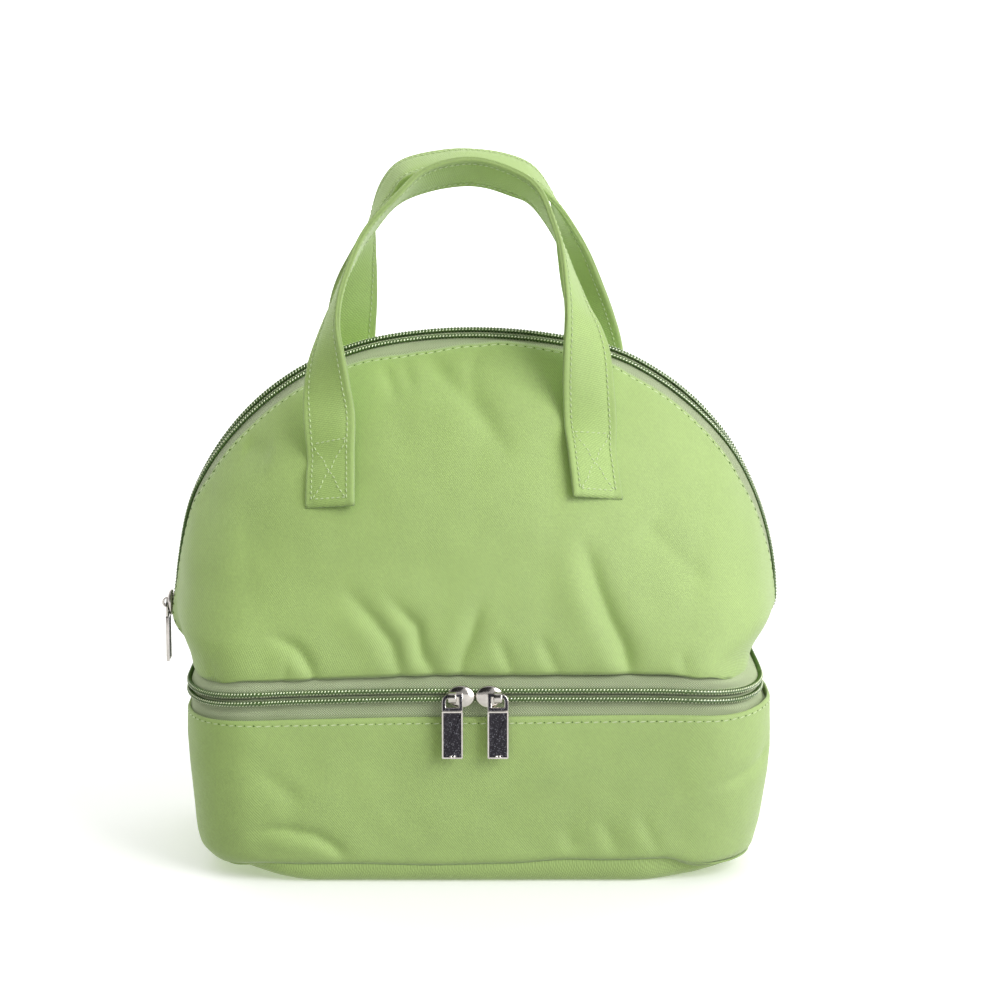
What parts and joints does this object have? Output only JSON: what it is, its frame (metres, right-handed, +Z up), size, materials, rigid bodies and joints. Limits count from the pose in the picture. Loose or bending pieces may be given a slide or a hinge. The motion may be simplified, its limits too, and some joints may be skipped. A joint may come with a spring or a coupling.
{
  "type": "insulated lunch bag",
  "caption": "Insulated lunch bag with a shallow lower compartment on a three-sided zip, a domed upper compartment on an arch zip, and a pair of strap handles.",
  "frame": {"origin": "on the ground under the middle of the base", "axes": "+Z up, +X to the right seen from the front, +Y from the front to the back"},
  "size_m": [0.2855, 0.159, 0.3213],
  "materials": {
    "outer_fabric": "light green twill polyester, soft satin",
    "strap_fabric": "light green twill polyester, folded and top-stitched",
    "zip_tape": "dull grey-green herringbone tape",
    "zip_coil": "dark green nylon coil",
    "foam": "white closed-cell foam",
    "foil_lining": "silver foil-faced sheet",
    "pull_metal": "polished gunmetal"
  },
  "bodies": {
    "base": {"base_wall": "outer_fabric", "base_bottom_panel": "outer_fabric", "base_floor_foam": "foam", "base_wall_foam": "foam", "base_lining": "foil_lining", "lower_zip_lower_tape": "zip_tape", "lower_zip_lower_coil": "zip_coil", "rear_hinge_strip": "outer_fabric"},
    "upper_compartment": {"divider_floor_lining": "foil_lining", "divider_foam": "foam", "divider_underside_lining": "foil_lining", "lower_zip_upper_tape": "zip_tape", "lower_zip_upper_coil": "zip_coil", "left_zip_end_tab": "outer_fabric", "right_zip_end_tab": "outer_fabric", "rear_panel": "outer_fabric", "rear_panel_foam": "foam", "rear_panel_lining": "foil_lining", "arch_zip_rear_tape": "zip_tape", "arch_zip_rear_coil": "zip_coil", "rear_handle_left_end": "strap_fabric", "rear_handle_right_end": "strap_fabric"},
    "front_flap": {"front_panel": "outer_fabric", "front_panel_foam": "foam", "front_panel_lining": "foil_lining", "arch_zip_front_tape": "zip_tape", "arch_zip_front_coil": "zip_coil", "front_handle_left_end": "strap_fabric", "front_handle_right_end": "strap_fabric"},
    "front_handle_loop": {"front_handle": "strap_fabric"},
    "rear_handle_loop": {"rear_handle": "strap_fabric"},
    "lower_left_slider_body": {"lower_left_slider": "pull_metal"},
    "lower_left_pull_tab": {"lower_left_pull": "pull_metal"},
    "lower_right_slider_body": {"lower_right_slider": "pull_metal"},
    "lower_right_pull_tab": {"lower_right_pull": "pull_metal"},
    "arch_slider_body": {"arch_slider": "pull_metal"},
    "arch_pull_tab": {"arch_pull": "pull_metal"}
  },
  "joints": [
    {"name": "upper_compartment_tip", "type": "hinge", "parent": "base", "child": "upper_compartment", "pos_m": [0, 0.0755, 0.09635], "axis": [-1, 0, 0], "range_deg": [0, 90]},
    {"name": "front_flap_fold", "type": "hinge", "parent": "upper_compartment", "child": "front_flap", "pos_m": [0, -0.0746, 0.0965], "axis": [1, 0, 0], "range_deg": [0, 60]},
    {"name": "front_handle_fall", "type": "hinge", "parent": "front_flap", "child": "front_handle_loop", "pos_m": [-0.004, -0.0465, 0.198], "axis": [1, 0, 0], "range_deg": [0, 140]},
    {"name": "rear_handle_fall", "type": "hinge", "parent": "upper_compartment", "child": "rear_handle_loop", "pos_m": [0, 0.0457, 0.198], "axis": [-1, 0, 0], "range_deg": [0, 140]},
    {"name": "lower_left_slider_run", "type": "slide", "parent": "base", "child": "lower_left_slider_body", "axis": [-1, 0, 0], "range_m": [0, 0.08]},
    {"name": "lower_left_pull_swing", "type": "hinge", "parent": "lower_left_slider_body", "child": "lower_left_pull_tab", "pos_m": [-0.0064, -0.0808, 0.0857], "axis": [-1, 0, 0], "range_deg": [0, 150]},
    {"name": "lower_right_slider_run", "type": "slide", "parent": "base", "child": "lower_right_slider_body", "axis": [1, 0, 0], "range_m": [0, 0.076]},
    {"name": "lower_right_pull_swing", "type": "hinge", "parent": "lower_right_slider_body", "child": "lower_right_pull_tab", "pos_m": [0.011, -0.0808, 0.0857], "axis": [-1, 0, 0], "range_deg": [0, 150]},
    {"name": "arch_slider_run", "type": "hinge", "parent": "upper_compartment", "child": "arch_slider_body", "pos_m": [-0.01742, 0, 0.115], "axis": [0, 1, 0], "range_deg": [0, 78]},
    {"name": "arch_pull_swing", "type": "hinge", "parent": "arch_slider_body", "child": "arch_pull_tab", "pos_m": [-0.1429, 0, 0.11449], "axis": [0, 1, 0], "range_deg": [0, 150]}
  ]
}
